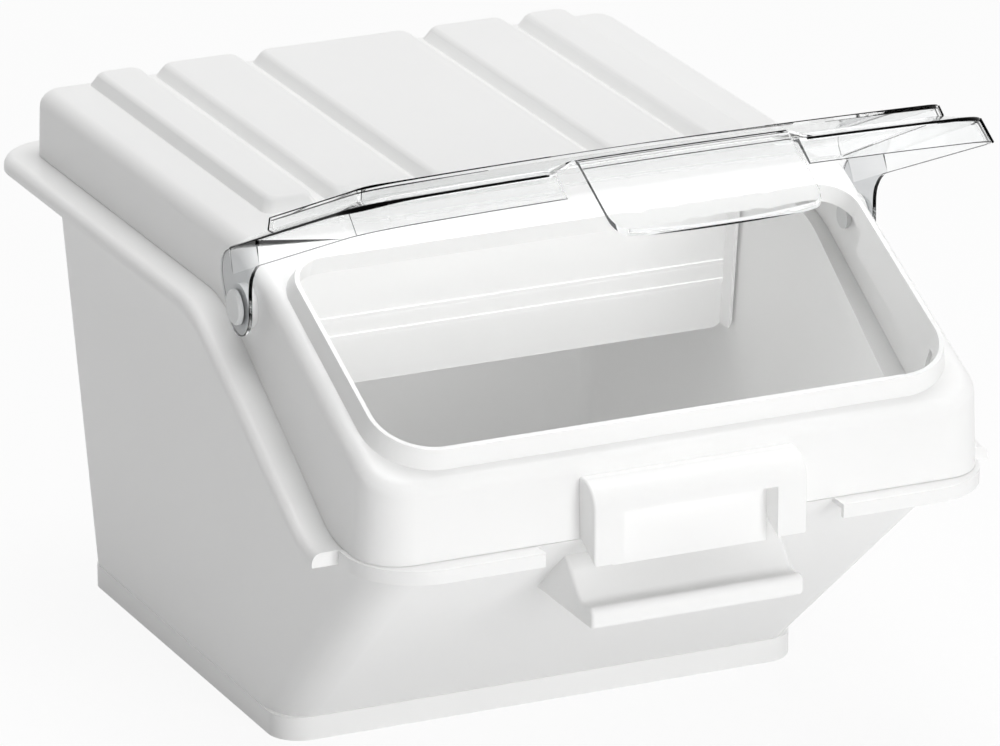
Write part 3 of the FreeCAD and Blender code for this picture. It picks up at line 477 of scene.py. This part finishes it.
CREASE_ROUND = 1.4 * MM
CREASE_FOLD = 15
CREASE_BAND = (35.6, 36.4)
CREASE_FRONT = 205
CREASE_INNER = 83
CREASE_BACK = 150
CREASE_FAR = 176
PAN_ROUND = 0.5 * MM
PAN_LEVEL = 47.6
PAN_FAR_SIDE = 150 * MM
PAN_FAR = 166
HEM_ROUND = 0.35 * MM
HEM_BAND = (19.0, 20.6)
HEM_BACK = 30
HEM_INNER = 80
EAR_ROUND = 0.45 * MM
EAR_SIDE = 206
EAR_FRONT = 30
EAR_TOP = 35
EAR_HOLE = 9

# Faces of the door with painted shade of their own: dark on the sides of tab and notches, grey on
# the ears

NOTCH_HALF = 86
NOTCH_BACK = 203
NOTCH_LEVEL = 0.5
NOTCH_SIDEWAYS = 0.4
EAR_FACE_FRONT = 20
EAR_FACE_TOP = 34
EAR_SIDEWAYS = 0.9


def bowed(x, half):
    """One in the middle and nothing at half the width: one less the square of x over the half."""
    return np.clip(1 - (x / half) ** 2, 0, 1)


def crowned(shape, mesh):
    """Give the door its crown and the tab its droop, on cuts across the width."""
    for cut in DOOR_CUTS:
        bmesh.ops.bisect_plane(shape, geom=shape.verts[:] + shape.edges[:] + shape.faces[:],
                               dist=MICRON, plane_co=(cut, 0, 0), plane_no=(1, 0, 0))
    shape.to_mesh(mesh)
    shape.free()
    places = np.empty(len(mesh.vertices) * 3, np.float32)
    mesh.vertices.foreach_get("co", places)
    places = places.reshape(-1, 3)
    lift = CROWN * bowed(places[:, 0], DOOR_HALF)
    along = np.clip(((places - PIVOT_PLACE) @ REACH - DROOP_START) / DROOP_RUN, 0, 1)
    droop = TAB_BOW * bowed(places[:, 0], TAB_HALF) * along
    places = places + lift[:, None] * RISE + droop[:, None] * DROOP
    mesh.vertices.foreach_set("co", places.astype(np.float32).reshape(-1))
    shape = bmesh.new()
    shape.from_mesh(mesh)
    return shape


def make_door():
    """Clear door, crowned across its width.

    The rise gains CROWN times one less the square of x over DOOR_HALF. The tab's lower edge
    droops in the same way, by TAB_BOW times one less the square of x over TAB_HALF.
    """
    mesh, shape = merged("door")
    shape = crowned(shape, mesh)

    def local(edge):
        """Distance from the middle, reach and rise in millimetres, with the crown taken off."""
        place = np.array(middle(edge)) - PIVOT_PLACE
        lift = CROWN * bowed(place[0], DOOR_HALF)
        return abs(place[0]) / MM, place @ REACH / MM, (place @ RISE - lift) / MM

    def crease(edge):
        x, reach, rise = local(edge)
        far = middle(edge).x > 0 and reach < CREASE_FAR
        outer = x > CREASE_INNER or reach < CREASE_BACK
        level = CREASE_BAND[0] < rise < CREASE_BAND[1] and reach < CREASE_FRONT
        return fold(edge) > CREASE_FOLD and level and outer and not far

    def pan(edge):
        _, reach, rise = local(edge)
        far = middle(edge).x > PAN_FAR_SIDE and reach < PAN_FAR
        return corner(edge) and rise > PAN_LEVEL and not far

    def hem(edge):
        x, reach, rise = local(edge)
        level = HEM_BAND[0] < rise < HEM_BAND[1]
        return corner(edge) and level and reach > HEM_BACK and x > HEM_INNER

    def ear(edge):
        x, reach, rise = local(edge)
        off_hole = abs(reach) + abs(rise) > EAR_HOLE
        on_ear = x > EAR_SIDE and reach < EAR_FRONT and rise < EAR_TOP
        return corner(edge) and on_ear and off_hole

    # Painted shade: dark on the sides of tab and notches, grey on the ears' flat sides
    for face in shape.faces:
        place = np.array(face.calc_center_median()) - PIVOT_PLACE
        x, reach, rise = abs(place[0]) / MM, place @ REACH / MM, place @ RISE / MM
        level = abs(np.array(face.normal) @ TAB_FACE)
        sideways = abs(face.normal.x)
        at_notch = x < NOTCH_HALF and reach > NOTCH_BACK
        at_ear = x > EAR_SIDE and reach < EAR_FACE_FRONT and rise < EAR_FACE_TOP
        if at_notch and level < NOTCH_LEVEL and sideways > NOTCH_SIDEWAYS:
            face.material_index = EDGE_SLOT
        elif at_ear and sideways > EAR_SIDEWAYS:
            face.material_index = EAR_SHADE_SLOT
    # Painted dark lines on the rounded crease, pan rim, hem and ear edges
    soften(shape, CREASE_ROUND, 3, crease, FOLD_SLOT, False)
    soften(shape, PAN_ROUND, 2, pan, FOLD_SLOT, False)
    soften(shape, HEM_ROUND, 2, hem, FOLD_SLOT, False)
    soften(shape, EAR_ROUND, 2, ear, EDGE_SLOT, False)
    paints = [CLEAR, FOLD_SHADE, EDGE_SHADE, EAR_SHADE]
    finish_moulding(mesh, shape, "door", "door", paints, DOOR_SHARP)


# Beads on the door, painted dark lines and a painted highlight, in millimetres of its own axes

STRAIGHT_POINTS = 24
TURN_POINTS = 13
PATH_POINTS = 2 * STRAIGHT_POINTS + TURN_POINTS
CREASE_PATH = {"half": 207.9, "front": 203.9, "radius": 27.7, "end": 85.0, "rise": 35.6}
PAN_PATH = {"half": 189.4, "front": 180.2, "radius": 14.4, "end": 70.0, "rise": 47.8}
PAN_FOOT_PATH = {"half": 187.2, "front": 178.0, "radius": 12.2, "end": 110.0, "rise": 45.6}
CREASE_START = 9.0
PAN_START = 27.0
PAN_FOOT_START = 25.4

# Radius of the long folds along their run from 0 to 1: the run up from a fine beginning, the
# swelling round the corner, and the taper to the end

BEGIN_RUN = 0.15
BELL_PLACE = 0.5
BELL_WIDTH = 0.1
TAPER_RUN = 0.35
TAPER_LEAST = 0.3
CREASE_SIDE_RUN = 0.4

# Short folds: where each starts and how far it runs, as x, reach and rise

SHORT_POINTS = 9
PAN_BACK_CORNER = ((189.6, 25.4, 47.6), (1.6, -1.6, -6.8))
PAN_FRONT_CORNER = ((188.6, 172.4, 47.6), (1.7, 0.6, -6.6))
SKIRT_CORNER = ((206.1, 188.9, 35.4), (1.2, 9.7, -15.4))

# Each side of the door, the weight of its painted dark folds and how far forward they begin;
# the far side's folds are painted fainter, as they don't look dark from the camera's side

SIDES = ((-1.0, 1.0, 0.0), (1.0, 0.3, 140.0))

# Tab: reach and rise of its root, the painted dark folds there as length and radius, and the rim
# with its painted highlight

TAB_ROOT = (212.4, 41.7)
TAB_ROOT_HALF = 67.5
TAB_ROOT_POINTS = 41
TAB_ROOT_FOLDS = ((0.6, 0.4), (8.0, 0.3))
RIM_ROOT = (213.0, 41.9)
RIM_HALF = 60
RIM_POINTS = 61
RIM_RADIUS = 0.9
RIM_CURVE = 1720


def door_place(x, reach, rise):
    """Points of the crowned door from its own axes, in millimetres."""
    lift = CROWN * bowed(x * MM, DOOR_HALF)
    sideways = x[:, None] * MM * np.array((1.0, 0, 0))
    upwards = (rise[:, None] * MM + lift[:, None]) * RISE
    return PIVOT_PLACE + sideways + reach[:, None] * MM * REACH + upwards


def tab_place(x, root, length):
    """Points of the tab at a length from its root."""
    return door_place(x, root[0] + TAB_REACH * length, root[1] - TAB_FALL * length)


def fold_path(back, half, front, radius, end, rise):
    """From the back along one side, round the front corner and along the front.

    It is a straight line, a quarter circle and a straight line.
    """
    turn = np.linspace(0, np.pi / 2, TURN_POINTS)
    side = np.linspace(back, front - radius, STRAIGHT_POINTS + 1)[:-1]
    across = np.linspace(half - radius, end, STRAIGHT_POINTS + 1)[1:]
    bend_x = half - radius + radius * np.cos(turn)
    bend_reach = front - radius + radius * np.sin(turn)
    x = np.concatenate([np.full(STRAIGHT_POINTS, half), bend_x, across])
    reach = np.concatenate([side, bend_reach, np.full(STRAIGHT_POINTS, front)])
    return x, reach, np.full(PATH_POINTS, rise)


def bead(path, radius, upright, sides=8):
    """A circle carried along a path.

    Each point is the path plus the radius times cos(a) across it and sin(a) along the upright.
    """
    along = np.gradient(path, axis=0)
    along /= np.linalg.norm(along, axis=1)[:, None]
    first = np.cross(along, upright)
    first /= np.linalg.norm(first, axis=1)[:, None]
    second = np.cross(along, first)
    angle = np.arange(sides) * 2 * np.pi / sides
    ring = (np.cos(angle)[:, None] * first[:, None, :]
            + np.sin(angle)[:, None] * second[:, None, :])
    places = (path[:, None, :] + radius[:, None, None] * MM * ring).reshape(-1, 3)
    row, step = np.meshgrid(np.arange(len(path) - 1) * sides, np.arange(sides), indexing="ij")
    follow = (step + 1) % sides
    corners = [row + step, row + follow, row + sides + follow, row + sides + step]
    faces = np.stack(corners, -1).reshape(-1, 4).tolist()
    last = (len(path) - 1) * sides
    return places, faces + [list(range(sides))[::-1], list(range(last, last + sides))]


def short_bead(side, start, run, radius):
    """Straight bead on one side of the door, from a start along a run."""
    share = np.linspace(0, 1, SHORT_POINTS)
    x, reach, rise = (first + length * share for first, length in zip(start, run))
    return bead(door_place(side * x, reach, rise), radius, REACH)


def make_beads(name, beads, paint):
    """One piece of the door from several beads."""
    places = np.concatenate([part[0] for part in beads])
    starts = np.cumsum([0] + [len(part[0]) for part in beads])
    faces = [[place + int(start) for place in face]
             for part, start in zip(beads, starts) for face in part[1]]
    mesh = bpy.data.meshes.new(name)
    mesh.from_pydata(places.tolist(), [], faces)
    mesh.shade_smooth()
    mesh.materials.append(paint)
    piece = bpy.data.objects.new(name, mesh)
    bpy.context.scene.collection.objects.link(piece)
    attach(piece, "door")


def make_door_folds():
    """Thick folds of the clear door, painted dark: painted shade for the light that real folds bend
    away.

    They are the crease, the pan's rim and foot, the corners and the tab's root. A long fold
    swells at its corner by a bell curve, exp of minus the square of the run from the middle.
    """
    run = np.linspace(0, 1, PATH_POINTS)
    bell = np.exp(-((run - BELL_PLACE) / BELL_WIDTH) ** 2)
    begin = np.clip(run / BEGIN_RUN, 0, 1)
    taper = np.clip((1 - run) / TAPER_RUN, TAPER_LEAST, 1)
    short = np.linspace(0, 1, SHORT_POINTS)
    even = np.ones(SHORT_POINTS)
    beads = []

    for side, weight, back in SIDES:
        x, reach, rise = fold_path(back + CREASE_START, **CREASE_PATH)
        along_side = weight * (0.3 + 0.5 * begin)
        radius = np.where(run < CREASE_SIDE_RUN, along_side, 0.8) + 0.9 * bell
        beads.append(bead(door_place(side * x, reach, rise - 0.6 * bell), radius, RISE))

        x, reach, rise = fold_path(back + PAN_START - 2 * weight, **PAN_PATH)
        radius = 0.3 + weight * (0.15 * taper + 0.35 * bell)
        beads.append(bead(door_place(side * x, reach, rise), radius, RISE))

        x, reach, rise = fold_path(back + PAN_FOOT_START, **PAN_FOOT_PATH)
        radius = 0.1 + 0.3 * weight * taper
        beads.append(bead(door_place(side * x, reach, rise), radius, RISE))

        beads.append(short_bead(side, *PAN_BACK_CORNER, 0.5 * even))
        beads.append(short_bead(side, *PAN_FRONT_CORNER, (0.75 - 0.5 * weight) * even))
        beads.append(short_bead(side, *SKIRT_CORNER, (1.45 - 1.2 * weight) * (1 - 0.3 * short)))

    x = np.linspace(-TAB_ROOT_HALF, TAB_ROOT_HALF, TAB_ROOT_POINTS)
    for length, thick in TAB_ROOT_FOLDS:
        path = tab_place(x, TAB_ROOT, np.full(TAB_ROOT_POINTS, length))
        beads.append(bead(path, np.full(TAB_ROOT_POINTS, thick), RISE))
    make_beads("door_folds", beads, FOLD_SHADE)


def make_tab_rim():
    """Rounded lower edge of the finger tab, opaque white as a painted highlight: it bows by the
    square of x, as the tab does.
    """
    x = np.linspace(-RIM_HALF, RIM_HALF, RIM_POINTS)
    length = TAB_LENGTH - x ** 2 / RIM_CURVE + TAB_BOW / MM * bowed(x * MM, TAB_HALF)
    path = tab_place(x, RIM_ROOT, length)
    make_beads("tab_rim", [bead(path, np.full(RIM_POINTS, RIM_RADIUS), RISE)], RIM_HIGHLIGHT)


make_camera()
make_studio()
make_tub()
make_hood()
make_baffle()
make_door()
make_door_folds()
make_tab_rim()
for node in ("hinge_pin_left", "hinge_pin_right"):
    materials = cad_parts[node].data.materials
    materials.clear()
    materials.append(PIVOT)
